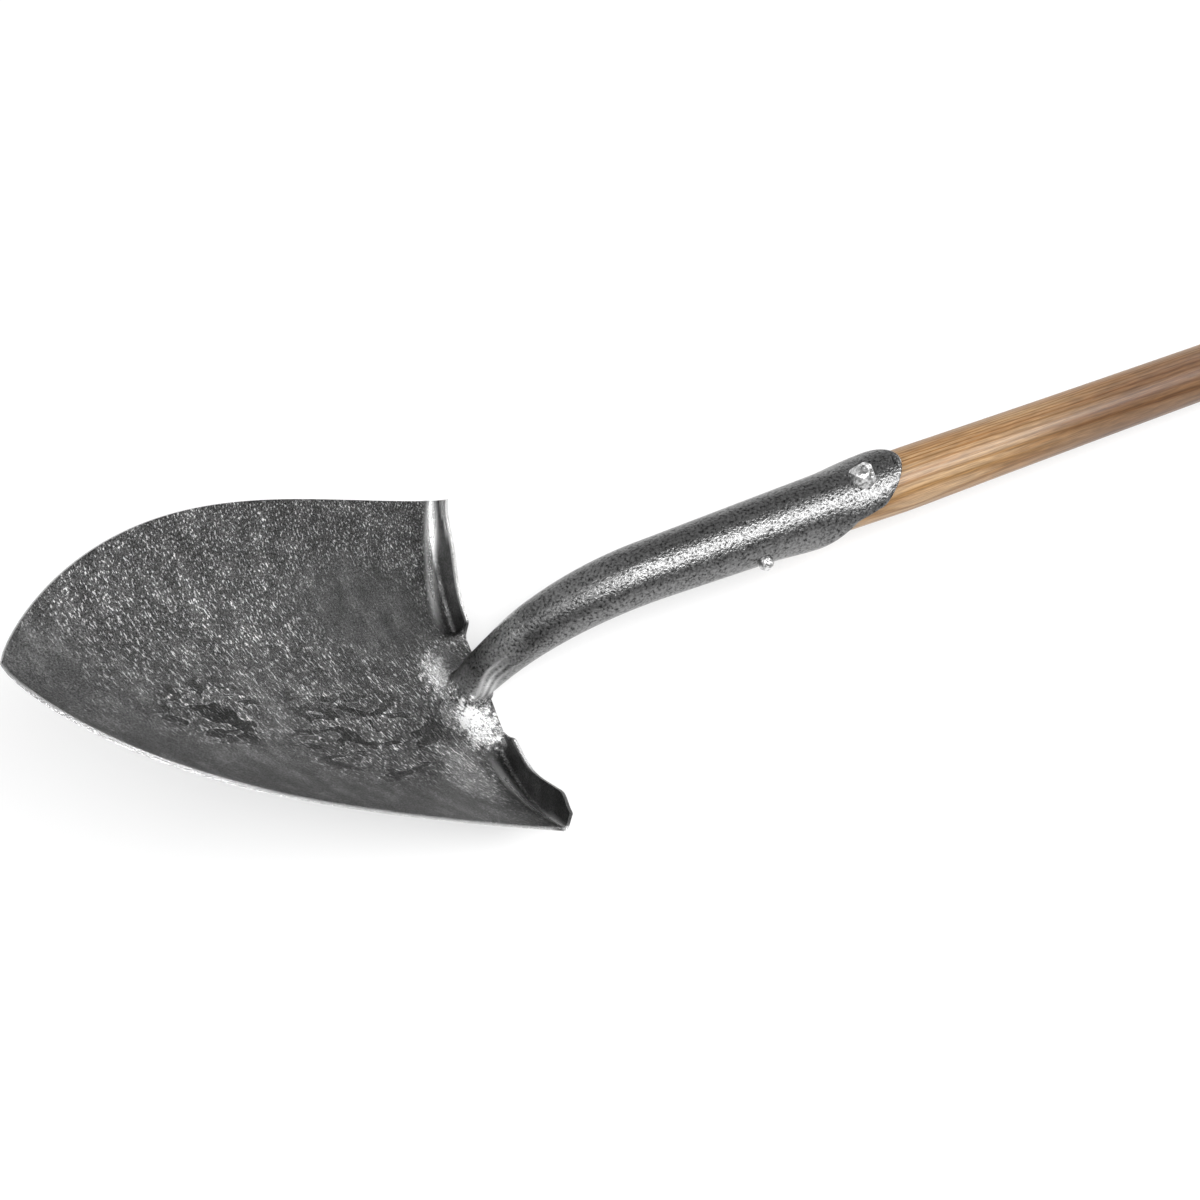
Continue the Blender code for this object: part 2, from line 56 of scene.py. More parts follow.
# Shovel head: one forging of carbon steel. The blade is pressed to a dish and its shoulders are
# turned forward as foot steps, the neck is drawn from the same blank and bent, and the socket is
# rolled round the handle with its seam open at the back.
BLADE_LENGTH = 0.2919
BLADE_HALF_WIDTH = 0.1175
BLADE_LIFT = math.radians(37.4)
SHOULDER_DROP = 0.0396
SHEET = 0.0021
OUTLINE_STRAIGHT = 0.31
OUTLINE_SHOULDER = 4.33
OUTLINE_TIP = 0.77
DISH_DEPTH = 0.0446
DISH_SLOPE = 1.1
DISH_CURVE = 2.0
DISH_CURVE_GAIN = 0.8
HEEL_BOW = 0.0156
HEEL_BOW_RUN = 5
EDGE_RISE = 0.0133
EDGE_RISE_SKEW = -1.5
STEP_FROM = 0.034
STEP_TO = 0.044
STEP_BACK = 0.0014
STEP_BEND = 0.0045
STEP_END_BEND_FROM = 0.062
STEP_END_SLANT = 0.65
NEAR_END_BEND = 0.0030
FAR_END_BEND = 0.0060
# A step's height, then where across the blade it rises and where it falls, and by how much
NEAR_STEP = (0.0160, (0.066, 0.094, 0.0042), (0.099, 0.124, 0.0130))
FAR_STEP = (0.0163, (0.052, 0.085, 0.0032), (0.086, 0.1175, 0.0062))
FAN_RISE = 0.009
FAN_LENGTH = 0.048
FAN_SIDE_LENGTH = 0.024
FAN_SPREAD = 0.022
FAN_LAST = 0.014
RIM_ROUNDING = 0.0006
CLOSE_ROWS_TO = 0.8
TIP_ROWS = 46
HEEL_ROWS = 22
BEND_ROWS = 10
UPRIGHT_ROWS = 5
MIDDLE_COLUMNS = 14
FOLD_COLUMNS = 10
WING_COLUMNS = 20


def smoothstep(value):
    value = min(1.0, max(0.0, value))
    return value * value * (3.0 - 2.0 * value)


def ramp(value, start, stop):
    """0 at the start, 1 at the stop, and smooth between the two."""
    return smoothstep((value - start) / (stop - start))


def blade_point(up, across, front):
    """A point of the blade: up it towards the tip, across it, and in front of its shoulders."""
    x = -up * math.cos(BLADE_LIFT) + front * math.sin(BLADE_LIFT)
    z = up * math.sin(BLADE_LIFT) + front * math.cos(BLADE_LIFT) - SHOULDER_DROP
    return Vector((x, across, z))


def blade_place(point):
    """The reverse of blade_point: how far up the blade, across it and in front of it a point lies."""
    x, across, z = point.x, point.y, point.z + SHOULDER_DROP
    up = z * math.sin(BLADE_LIFT) - x * math.cos(BLADE_LIFT)
    front = x * math.sin(BLADE_LIFT) + z * math.cos(BLADE_LIFT)
    return up, across, front


def half_width(run):
    """Half the blade's width, from the tip (run 0) to the heel (run 1)."""
    bulge = (1.0 - (1.0 - run) ** OUTLINE_SHOULDER) ** OUTLINE_TIP
    return BLADE_HALF_WIDTH * (OUTLINE_STRAIGHT * run + (1.0 - OUTLINE_STRAIGHT) * bulge)


def middle_front(run):
    return -DISH_DEPTH * run**DISH_SLOPE


def beside_steps(across):
    """1 between the two steps, 0 where they stand."""
    return 1.0 - ramp(across, STEP_FROM, STEP_TO)


def fan_front(away, across):
    """How far the raised fan stands over the dish, at a place away from the heel."""
    length = FAN_SIDE_LENGTH + (FAN_LENGTH - FAN_SIDE_LENGTH) * math.exp(-((across / FAN_SPREAD) ** 2))
    return FAN_RISE * beside_steps(across) * max(0.0, 1.0 - away / length) ** 2


def dish(run, side):
    """(up, across, front) of the back face, from the tip (run 0) to the heel (run 1)."""
    side = abs(side)
    middle = middle_front(run)
    edge = EDGE_RISE * 4.0 * run * (1.0 - run) * (1.0 + EDGE_RISE_SKEW * (run - 0.5))
    front = middle + (edge - middle) * side ** (DISH_CURVE + DISH_CURVE_GAIN * run)
    heel_up = -HEEL_BOW * (1.0 - side * side)
    up = BLADE_LENGTH * (1.0 - run) + heel_up * run**HEEL_BOW_RUN
    across = half_width(run) * side
    return up, across, front + fan_front(up - heel_up, across)


def step_bend(side):
    """The radius of the bend into the steps, which changes towards their outer ends."""
    end_bend = NEAR_END_BEND if side < 0.0 else FAR_END_BEND
    outwards = ramp(abs(side) * BLADE_HALF_WIDTH, STEP_END_BEND_FROM, BLADE_HALF_WIDTH)
    return STEP_BEND + (end_bend - STEP_BEND) * outwards


def step_height(side):
    """The height of a step, which rises outwards between two places and falls between two more."""
    across = abs(side) * BLADE_HALF_WIDTH
    height, rising, falling = NEAR_STEP if side < 0.0 else FAR_STEP
    for (start, stop, change), way in ((rising, 1.0), (falling, -1.0)):
        height += way * change * ramp(across, start, stop)
    return height


def step_point(side, share):
    """A point of a foot step, from the start of its bend (share 0) to its top edge (share 1)."""
    up, across, front = dish(1.0, side)
    bend = step_bend(side)
    if share <= 0.5:
        angle = math.pi * share
        up_shift = bend * (1.0 - math.sin(angle))
        rise = bend * (1.0 - math.cos(angle))
    else:
        up_shift = 0.0
        rise = bend + (step_height(side) - bend) * (2.0 * share - 1.0)
    slant = 1.0 - STEP_END_SLANT * rise * side**4 / BLADE_HALF_WIDTH
    return Vector((up + up_shift - STEP_BACK, across * slant, front + rise))


def heel_start(side):
    """How far the dish runs before its last stretch, which bends into a step or runs out in the fan."""
    fan = beside_steps(BLADE_HALF_WIDTH * abs(side))
    return 1.0 - (step_bend(side) - STEP_BACK + (FAN_LAST - STEP_BEND) * fan) / BLADE_LENGTH


def heel_point(side, share):
    """A point of the last stretch: on a step at the sides, on the fan between the steps."""
    fan = beside_steps(BLADE_HALF_WIDTH * abs(side))
    start = heel_start(side)
    on_fan = Vector(dish(start + (1.0 - start) * share, side))
    return step_point(side, share).lerp(on_fan, fan)


stops = (0.0, STEP_FROM / BLADE_HALF_WIDTH, STEP_TO / BLADE_HALF_WIDTH, 1.0)
blade_sides = [0.0]
for start, stop, count in zip(stops, stops[1:], (MIDDLE_COLUMNS, FOLD_COLUMNS, WING_COLUMNS)):
    blade_sides += [start + (stop - start) * (step + 1) / count for step in range(count)]
middle_column = len(blade_sides) - 1
blade_sides = [-side for side in reversed(blade_sides[1:])] + blade_sides
blade_runs = [CLOSE_ROWS_TO * (row / TIP_ROWS) ** 1.2 for row in range(TIP_ROWS)]
blade_runs += [CLOSE_ROWS_TO + (1.0 - CLOSE_ROWS_TO) * row / HEEL_ROWS for row in range(HEEL_ROWS)]
heel_shares = [0.5 * row / BEND_ROWS for row in range(BEND_ROWS)]
heel_shares += [0.5 + 0.5 * row / UPRIGHT_ROWS for row in range(UPRIGHT_ROWS + 1)]
blade_rows = [[dish(run * heel_start(side), side) for side in blade_sides] for run in blade_runs]
blade_rows += [[heel_point(side, share) for side in blade_sides] for share in heel_shares]

bpy.ops.object.select_all(action="DESELECT")
bpy.ops.mesh.primitive_grid_add(
    x_subdivisions=2 * middle_column, y_subdivisions=len(blade_rows) - 1, size=2.0
)
head = bpy.context.object
head.name = "shovel_head"
for vertex in head.data.vertices:
    column = round((vertex.co.x + 1.0) * middle_column)
    row = round((vertex.co.y + 1.0) / 2.0 * (len(blade_rows) - 1))
    up, across, front = blade_rows[row][column]
    vertex.co = blade_point(up, math.copysign(across, blade_sides[column]), front)
bpy.ops.object.mode_set(mode="EDIT")
bpy.ops.mesh.select_all(action="SELECT")
bpy.ops.mesh.remove_doubles(threshold=1e-6)
bpy.ops.mesh.dissolve_degenerate(threshold=1e-6)
bpy.ops.object.mode_set(mode="OBJECT")
if head.data.polygons[0].normal.z > 0.0:
    bpy.ops.object.mode_set(mode="EDIT")
    bpy.ops.mesh.flip_normals()
    bpy.ops.object.mode_set(mode="OBJECT")
wall = head.modifiers.new("wall", "SOLIDIFY")
wall.thickness = SHEET
wall.offset = -1.0
wall.use_even_offset = True
rim = head.modifiers.new("rounded_rim", "BEVEL")
rim.width = RIM_ROUNDING
rim.segments = 2
rim.limit_method = "ANGLE"
rim.angle_limit = math.radians(60.0)
for name in ("wall", "rounded_rim"):
    bpy.ops.object.modifier_apply(modifier=name)

# Neck and socket: places are measured along the handle from the blade's shoulders, and angles go
# round it from its front. A share of the neck runs from the socket (0) to the neck's foot (1).
NECK_START = 0.100
NECK_BEND = 0.135
NECK_TURN = math.radians(62.0)
NECK_ROOT_RADIUS = 0.0122
KNEE_DROP = 0.0155
RIB_START = 0.011
RIB_END = 0.098
RIB_RISE = 0.0055
RIB_HALF_WIDTH = 0.0140
RIB_END_HALF_WIDTH = 0.0050
SOCKET_END = 0.2613
SOCKET_BACK_CUT = 0.058
SOCKET_CUT_CURVE = 1.8
SOCKET_HIP = 0.0125
SOCKET_HIP_FROM = math.radians(62.0)
SOCKET_HIP_TO = math.radians(77.0)
TONGUE_TURN = math.radians(9.0)
SOCKET_MOUTH_RADIUS = 0.0222
SOCKET_NECK_RADIUS = 0.0184
SOCKET_FLARE = 0.0016
SOCKET_FLARE_LENGTH = 0.032
FLARE_SOFTNESS = math.radians(30.0)
SOCKET_SEAM = 0.0016
SEAM_FROM = 0.117
SEAM_START_SHARE = 0.05
SOCKET_RIM = 0.0008
BORE_BOTTOM = 0.105
BORE_MOUTH_RADIUS = 0.0194
BORE_BOTTOM_RADIUS = 0.0156
FILLET = 0.0035
FILLET_HEIGHT = 0.007
FILLET_SINK = 0.001
PINCH = 0.15
PINCH_FROM_SHARE = 0.50
PINCH_FROM = math.radians(74.0)
PINCH_FROM_ABOVE = math.radians(37.0)
PINCH_TURN_FROM = 0.75
PINCH_TURN_TO = 0.97
PINCH_EDGE = math.radians(7.0)
PINCH_FADE = math.radians(66.0)
COLLAR_MIDDLE = 0.106
COLLAR_TOP = 0.111
AROUND = 96
RIB_ROWS = 16
KNEE_ROWS = 30
NECK_ROWS = 60
SOCKET_ROWS = 40
SEAM_MERGE = 0.00004


def socket_end_at(angle, softness):
    """Where the socket ends, at an angle from its front: a tongue, then hips, then the cut back."""
    around = math.acos(math.cos(angle - TONGUE_TURN))
    fall = SOCKET_BACK_CUT * math.sin(around / 2.0) ** SOCKET_CUT_CURVE
    hip = SOCKET_HIP * ramp(around, SOCKET_HIP_FROM - softness, SOCKET_HIP_TO + softness)
    return SOCKET_END - fall - hip


def outer_radius(x):
    share = (x - NECK_START) / (SOCKET_END - NECK_START)
    return SOCKET_NECK_RADIUS + (SOCKET_MOUTH_RADIUS - SOCKET_NECK_RADIUS) * share


def bore_radius(x):
    share = (x - BORE_BOTTOM) / (SOCKET_END - BORE_BOTTOM)
    return BORE_BOTTOM_RADIUS + (BORE_MOUTH_RADIUS - BORE_BOTTOM_RADIUS) * share


def flare(x, angle):
    """The socket opens a little towards its rim."""
    end = socket_end_at(angle, FLARE_SOFTNESS)
    return SOCKET_FLARE * ramp(x, end - SOCKET_FLARE_LENGTH, end)


def seam_half_angle(share, radius):
    """Half the angle that the open seam takes up, nothing where the socket is still closed."""
    if share <= 0.0:
        return 0.0
    opening = min(1.0, share / SEAM_START_SHARE)
    half = 0.5 * SOCKET_SEAM * math.sqrt(1.0 - (1.0 - opening) ** 2)
    return math.asin(half / radius)


def socket_row(share, radius_at, back=0.0, inwards=0.0):
    """A row of points round the socket, from one lip of its seam round the front to the other."""
    seam_x = SEAM_FROM + (socket_end_at(math.pi, 0.0) - SEAM_FROM) * share
    lip = seam_half_angle(share, radius_at(seam_x))
    row = []
    for step in range(AROUND + 1):
        angle = -math.pi + lip + (math.tau - 2.0 * lip) * step / AROUND
        x = SEAM_FROM + (socket_end_at(angle, 0.0) - SEAM_FROM) * share - back
        reach = radius_at(x) + flare(x, angle) - inwards
        row.append(Vector((x, reach * math.sin(angle), reach * math.cos(angle))))
    return row


def closed_row(x, radius):
    angles = [-math.pi + math.tau * step / AROUND for step in range(AROUND + 1)]
    return [Vector((x, radius * math.sin(angle), radius * math.cos(angle))) for angle in angles]


def height_over_sheet(point):
    """How far a point of the neck stands in front of the blade's front face."""
    up, across, front = blade_place(point)
    side = min(1.0, abs(across) / BLADE_HALF_WIDTH)
    run = 1.0 - (up + HEEL_BOW * (1.0 - side * side)) / BLADE_LENGTH
    if run > 1.0:
        return FILLET_HEIGHT
    return front - dish(max(0.0, run), side)[2] - SHEET


def pinch_from(share):
    """The angle from the neck's front at which its pinched flank starts, further round at its foot."""
    foot = ramp(share, PINCH_TURN_FROM, PINCH_TURN_TO)
    return PINCH_FROM_ABOVE + (PINCH_FROM - PINCH_FROM_ABOVE) * foot


def pinched(angle, share, amount):
    """How much of the neck's round is left where the swage has flattened its flanks."""
    fold = pinch_from(share)
    flat = fold + PINCH_EDGE
    return 1.0 - amount * ramp(abs(angle), fold, flat) * ramp(abs(angle), flat + PINCH_FADE, flat)


def neck_row(front, back, width, share=1.0, pinch=0.0):
    """A row round the neck. Close over the sheet its metal spreads to a fillet."""
    middle = (front + back) / 2.0
    along = (front - back) / 2.0
    row = []
    for step in range(AROUND + 1):
        angle = -math.pi + math.tau * step / AROUND
        spoke = along * math.cos(angle) + Vector((0.0, width * math.sin(angle), 0.0))
        spoke *= pinched(angle, share, pinch)
        over = height_over_sheet(middle + spoke)
        spread = FILLET * max(0.0, 1.0 - max(0.0, over) / FILLET_HEIGHT) ** 2
        spread *= ramp(over, -FILLET_SINK, 0.0)
        row.append(middle + spoke + spoke.normalized() * spread)
    return row


def neck_ends(share):
    """The front, the back and half the width of the bent neck, from the socket to its foot."""
    radius = SOCKET_NECK_RADIUS + (NECK_ROOT_RADIUS - SOCKET_NECK_RADIUS) * share**1.5
    outwards = Vector((-math.sin(NECK_TURN * share), 0.0, math.cos(NECK_TURN * share)))
    middle = Vector((NECK_START, 0.0, -NECK_BEND)) + outwards * NECK_BEND
    return middle + outwards * radius, middle - outwards * radius, radius


def rib_ends(share):
    """The same for the rib behind the blade, from the neck's foot to where the rib runs out."""
    up = RIB_START + (RIB_END - RIB_START) * share
    back_face = middle_front(1.0 - up / BLADE_LENGTH) + fan_front(up + HEEL_BOW, 0.0)
    inside = blade_point(up, 0.0, back_face + 0.5 * SHEET)
    behind = blade_point(up, 0.0, back_face - RIB_RISE * (1.0 - share) ** 1.2)
    return inside, behind, RIB_HALF_WIDTH + (RIB_END_HALF_WIDTH - RIB_HALF_WIDTH) * share


def knee_ends(share):
    """The neck's foot turns into the rib that runs up behind the blade."""
    neck_front, neck_back, neck_width = neck_ends(1.0)
    rib_front, rib_back, rib_width = rib_ends(0.0)
    rest = 1.0 - share
    corner = blade_point(-KNEE_DROP, 0.0, middle_front(1.0) - SHEET - RIB_RISE)
    back = neck_back * rest * rest + corner * 2.0 * rest * share + rib_back * share * share
    front = neck_front.lerp(rib_front, 0.9 * min(1.0, 3.0 * share) + 0.1 * share)
    return front, back, neck_width * rest + rib_width * share


rows = [neck_row(*rib_ends(1.0 - step / RIB_ROWS)) for step in range(RIB_ROWS)]
for step in range(KNEE_ROWS):
    share = 1.0 - step / KNEE_ROWS
    rows.append(neck_row(*knee_ends(share), 1.0, PINCH * max(0.0, 1.0 - 2.0 * share)))
for step in range(NECK_ROWS):
    share = 1.0 - step / NECK_ROWS
    rows.append(neck_row(*neck_ends(share), share, PINCH * ramp(share, PINCH_FROM_SHARE, 1.0)))
rows += [closed_row(x, outer_radius(x)) for x in (NECK_START, COLLAR_MIDDLE, COLLAR_TOP)]
shares = [(step / SOCKET_ROWS) ** 1.3 for step in range(SOCKET_ROWS + 1)]
rim_turns = [math.radians(turn) for turn in (0.0, 30.0, 60.0, 90.0)]
outer_first = len(rows)
rows += [socket_row(share, outer_radius) for share in shares[:-1]]
rim_first = len(rows)
for turn in rim_turns:
    back = SOCKET_RIM * (1.0 - math.sin(turn))
    rows.append(socket_row(1.0, outer_radius, back, SOCKET_RIM * (1.0 - math.cos(turn))))
for turn in reversed(rim_turns):
    back = SOCKET_RIM * (1.0 - math.sin(turn))
    rows.append(socket_row(1.0, bore_radius, back, -SOCKET_RIM * (1.0 - math.cos(turn))))
inner_first = len(rows)
rows += [socket_row(share, bore_radius) for share in reversed(shares[:-1])]
rows += [closed_row(x, bore_radius(x)) for x in (COLLAR_TOP, BORE_BOTTOM)]

neck_mesh = bmesh.new()
grid = [[neck_mesh.verts.new(point) for point in row] for row in rows]
for lower, upper in zip(grid, grid[1:]):
    for step in range(AROUND):
        neck_mesh.faces.new((lower[step], lower[step + 1], upper[step + 1], upper[step]))
neck_mesh.faces.new(grid[0][:-1])
neck_mesh.faces.new(grid[-1][:-1])
for lip in (0, AROUND):
    for step in range(SOCKET_ROWS - 1):
        outer, inner = outer_first + step, inner_first + SOCKET_ROWS - 1 - step
        wall_face = [grid[outer][lip], grid[outer + 1][lip], grid[inner - 1][lip], grid[inner][lip]]
        neck_mesh.faces.new(wall_face)
    rim_rows = range(rim_first - 1, inner_first + 1)
    neck_mesh.faces.new([grid[row][lip] for row in rim_rows])
bmesh.ops.remove_doubles(neck_mesh, verts=neck_mesh.verts, dist=1e-6)
bmesh.ops.dissolve_degenerate(neck_mesh, edges=neck_mesh.edges, dist=1e-6)
bmesh.ops.recalc_face_normals(neck_mesh, faces=neck_mesh.faces)
neck_data = bpy.data.meshes.new("neck_and_socket")
neck_mesh.to_mesh(neck_data)
neck_mesh.free()
neck = bpy.data.objects.new("neck_and_socket", neck_data)
bpy.context.scene.collection.objects.link(neck)

join = head.modifiers.new("neck_joined", "BOOLEAN")
join.operation = "UNION"
join.solver = "EXACT"
join.object = neck
bpy.ops.object.select_all(action="DESELECT")
head.select_set(True)
bpy.context.view_layer.objects.active = head
bpy.ops.object.modifier_apply(modifier="neck_joined")
bpy.data.objects.remove(neck)


def put_in_order(piece):
    """Sorts a piece's points, edges and faces by place.

    The union and extrude give them in another order each run, and the steps after them depend on it.
    """
    mesh = piece.data
    by_place = sorted(range(len(mesh.vertices)), key=lambda index: tuple(mesh.vertices[index].co))
    rank = {index: place for place, index in enumerate(by_place)}
    on_map = [tuple(corner.uv) for corner in mesh.uv_layers.active.data]
    edges = sorted(sorted(rank[index] for index in edge.vertices) for edge in mesh.edges)
    faces = []
    for face in mesh.polygons:
        corners = [(rank[mesh.loops[loop].vertex_index], on_map[loop]) for loop in face.loop_indices]
        first = corners.index(min(corners))
        faces.append(corners[first:] + corners[:first])
    ordered = bmesh.new()
    map_layer = ordered.loops.layers.uv.new(mesh.uv_layers.active.name)
    points = [ordered.verts.new(mesh.vertices[index].co) for index in by_place]
    for start, end in edges:
        ordered.edges.new((points[start], points[end]))
    for corners in sorted(faces):
        face = ordered.faces.new([points[corner] for corner, _ in corners])
        for loop, (_, place_on_map) in zip(face.loops, corners):
            loop[map_layer].uv = place_on_map
    ordered.to_mesh(mesh)
    ordered.free()


def merge_close(distance):
    """Merges the points of the active piece that are closer than this, and the slivers between them."""
    bpy.ops.object.mode_set(mode="EDIT")
    bpy.ops.mesh.select_all(action="SELECT")
    bpy.ops.mesh.remove_doubles(threshold=distance)
    bpy.ops.mesh.dissolve_degenerate(threshold=distance)
    bpy.ops.object.mode_set(mode="OBJECT")


put_in_order(head)
merge_close(SEAM_MERGE)

# The union leaves points along its seam that only cut an edge in two. They are taken out again.
edges_at = [0] * len(head.data.vertices)
for edge in head.data.edges:
    edges_at[edge.vertices[0]] += 1
    edges_at[edge.vertices[1]] += 1
bpy.ops.object.mode_set(mode="EDIT")
bpy.ops.mesh.select_mode(type="VERT")
bpy.ops.mesh.select_all(action="DESELECT")
bpy.ops.object.mode_set(mode="OBJECT")
for vertex, count in zip(head.data.vertices, edges_at):
    vertex.select = count == 2
bpy.ops.object.mode_set(mode="EDIT")
bpy.ops.mesh.dissolve_verts()
bpy.ops.object.mode_set(mode="OBJECT")

# For the patterns, each point of the head notes where it lies on the blade, how far it belongs to
# the neck, how much wear and painted sheen it shows (painted highlights on the bends and the neck's
# folds, wear with a painted sheen on the rim and the step tops), and whether it is on the upright of a
# step.
NECK_FOOT = 0.030
RIM_SHINE = 0.0012
TIP_SHINE = 0.0024
TOP_SHINE = 0.0012
NEAR_TOP_SHINE_TO = 0.060
UPRIGHT_DEPTH = 0.004
FOLD_LINES = ((0.0, 1.6), (2.6, 1.1), (5.2, 0.9))
FOLD_LINE_WIDTH = 0.65
FOLD_FLANK_HIGHLIGHT = 0.12


def neck_share(point):
    """1 on the neck and the socket, 0 on the blade, and between the two at the neck's foot."""
    up, across, front = blade_place(point)
    if up < -NECK_FOOT or point.x > NECK_FOOT:
        return 1.0
    if up > NECK_FOOT or abs(across) > NECK_FOOT:
        return 0.0
    return ramp(height_over_sheet(point), 0.001, 0.013)


def bend_highlight(up, side, rise):
    """A painted highlight along the bends into the steps, left off the stretch that runs out beside the
    fan.
    """
    bend = step_bend(side)
    shine = smoothstep(1.2 - abs(up + STEP_BACK - 0.3 * bend) / bend)
    return shine * smoothstep(2.0 - abs(rise) / bend) * ramp(abs(side), 0.35, 0.65)


def rim_wear_and_sheen(up, across):
    """The blade's edge, worn bright with a painted sheen, widest near the tip on the near side."""
    edge = half_width(min(1.0, max(0.0, 1.0 - up / BLADE_LENGTH)))
    width = RIM_SHINE + TIP_SHINE * ramp(up, 0.15, 0.26) * ramp(across, 0.0, -0.03)
    return ramp(edge - abs(across), width, 0.0) * ramp(up, 0.004, 0.014)


def top_wear_and_sheen(up, across, side, rise):
    """The top edge of the far step, and of the near one its inner part, worn by the foot with a painted
    sheen.
    """
    under_top = step_height(side) + 0.0002 - rise
    shine = ramp(under_top, TOP_SHINE, 0.0) * ramp(up, UPRIGHT_DEPTH, 0.0) * ramp(abs(side), 0.30, 0.35)
    if across < 0.0:
        shine *= 1.0 - ramp(-across, NEAR_TOP_SHINE_TO, NEAR_TOP_SHINE_TO + 0.015)
    return shine


def fold_highlight(point):
    """Painted highlights on the neck's near flank: bright lines where its foot is folded, fainter one
    after the other.
    """
    inwards = Vector((point.x - NECK_START, 0.0, point.z + NECK_BEND))
    share = math.atan2(-inwards.x, inwards.z) / NECK_TURN
    near_flank = math.atan2(-point.y, inwards.length - NECK_BEND)
    off_fold = (near_flank - pinch_from(share)) / PINCH_EDGE - 0.5
    shine = FOLD_FLANK_HIGHLIGHT * smoothstep(off_fold) * ramp(off_fold, 10.0, 9.0)
    for line, gain in FOLD_LINES:
        shine += gain * math.exp(-(((off_fold - line) / FOLD_LINE_WIDTH) ** 2))
    return shine * ramp(share, 0.60, 0.85) * ramp(share, 1.125, 1.0)


head.data.attributes.new("on_blade", "FLOAT_VECTOR", "POINT")
for name in ("neck_share", "rubbed", "on_step"):
    head.data.attributes.new(name, "FLOAT", "POINT")
notes = head.data.attributes
for index, vertex in enumerate(head.data.vertices):
    up, across, front = blade_place(vertex.co)
    side = math.copysign(min(1.0, abs(across) / BLADE_HALF_WIDTH), across)
    rise = front - dish(1.0, side)[2]
    on_neck = neck_share(vertex.co)
    upright = ramp(rise, 0.0, 0.005) * ramp(up, UPRIGHT_DEPTH, 0.0) * (1.0 - beside_steps(abs(across)))
    shine = max(bend_highlight(up, side, rise), rim_wear_and_sheen(up, across), top_wear_and_sheen(up, across, side, rise))
    shine += (fold_highlight(vertex.co) - shine) * on_neck
    notes["on_blade"].data[index].vector = (-up, across, front)
    notes["neck_share"].data[index].value = on_neck
    notes["rubbed"].data[index].value = min(1.0, shine)
    notes["on_step"].data[index].value = upright
head.data.transform(lying)
bpy.ops.object.shade_smooth_by_angle(angle=math.radians(35.0))


def shader_of(material):
    material.use_nodes = True
    return material.node_tree.nodes["Principled BSDF"]


def add_node(tree, kind, values=(), **settings):
    """A node with its settings, and its inputs either set or linked."""
    made = tree.nodes.new(kind)
    for key, value in settings.items():
        setattr(made, key, value)
    for key, value in dict(values).items():
        if isinstance(value, bpy.types.NodeSocket):
            tree.links.new(value, made.inputs[key])
        else:
            made.inputs[key].default_value = value
    return made


def shades(tree, factor, stops):
    """A ramp of greys or colours, from (place, colour) stops."""
    made = add_node(tree, "ShaderNodeValToRGB", {"Fac": factor})
    elements = made.color_ramp.elements
    while len(elements) < len(stops):
        elements.new(0.5)
    for element, (place, colour) in zip(elements, stops):
        element.position = place
        if isinstance(colour, (int, float)):
            colour = (colour, colour, colour)
        element.color = (*colour, 1.0)
    return made.outputs["Color"]


def mixed(tree, factor, first, second, blend="MIX"):
    mix = add_node(tree, "ShaderNodeMix", data_type="RGBA", blend_type=blend)
    for socket, value in zip((mix.inputs[0], mix.inputs[6], mix.inputs[7]), (factor, first, second)):
        if isinstance(value, bpy.types.NodeSocket):
            tree.links.new(value, socket)
        elif socket.type == "RGBA" and isinstance(value, (int, float)):
            socket.default_value = (value, value, value, 1.0)
        elif socket.type == "RGBA":
            socket.default_value = (*value, 1.0)
        else:
            socket.default_value = value
    return mix.outputs[2]


def noise(tree, place, scale, detail, **more):
    values = {"Vector": place, "Scale": scale, "Detail": detail}
    values.update({key.capitalize(): value for key, value in more.items()})
    return add_node(tree, "ShaderNodeTexNoise", values).outputs["Fac"]


def turned(tree, place, turn, stretch):
    """The place, for a pattern drawn out by a stretch along a direction in the XY plane."""
    values = {"Vector": place, "Rotation": (0.0, 0.0, turn), "Scale": (stretch, 1.0, 1.0)}
    return add_node(tree, "ShaderNodeMapping", values, vector_type="TEXTURE").outputs["Vector"]


def spot(tree, place, centre, size):
    """1 in the middle of an oval of this size, 0 outside it."""
    values = {"Vector": place, "Location": (*centre, 0.0)[:3], "Scale": (*size, 1.0)[:3]}
    moved = add_node(tree, "ShaderNodeMapping", values, vector_type="TEXTURE").outputs["Vector"]
    away = add_node(tree, "ShaderNodeVectorMath", {0: moved}, operation="LENGTH").outputs["Value"]
    values = {"Value": away, "From Min": 1.0, "From Max": 0.35, "To Min": 0.0, "To Max": 1.0}
    soft = add_node(tree, "ShaderNodeMapRange", values, interpolation_type="SMOOTHSTEP")
    return soft.outputs["Result"]


def noted(tree, name, output="Fac"):
    """What the points of a piece have noted under this name."""
    return add_node(tree, "ShaderNodeAttribute", attribute_name=name).outputs[output]


forged = bpy.data.materials.new("forged_steel_finish")
steel = shader_of(forged)
tree = forged.node_tree
place = add_node(tree, "ShaderNodeTexCoord").outputs["Object"]
on_blade = noted(tree, "on_blade", "Vector")
neck_part = noted(tree, "neck_share")
rubbed = noted(tree, "rubbed")

# Rolling skin of the blade: a fine grain and slanting flecks, fewer where the steel is worn smooth.
# A patch has its middle, as minus up and across the blade, then its half length and half width.
GRAIN_TURN = math.radians(-60.0)
GRIT_SCALE = 1100.0
FLECK_SCALE = 820.0
FLECK_STRETCH = 2.7
CLOUD_SCALE = 85.0
CLOUD_STRETCH = 1.6
WORN_PATCH = ((-0.055, 0.051), (0.078, 0.044))
SMOOTH_SIDE = ((-0.190, -0.083), (0.265, 0.113))
CALM_PATCHES = (((-0.285, -0.010), (0.060, 0.060)), ((-0.003, 0.015), (0.022, 0.024)))
STAINED_PATCHES = (((-0.184, -0.026), (0.050, 0.030)), ((-0.088, -0.038), (0.080, 0.048)))
CALM_SHARE = 0.85
SMOOTH_SIDE_GAIN = 1.75
grit = noise(tree, on_blade, GRIT_SCALE, 2.0, roughness=0.7)
drawn_flecks = turned(tree, on_blade, GRAIN_TURN, FLECK_STRETCH)
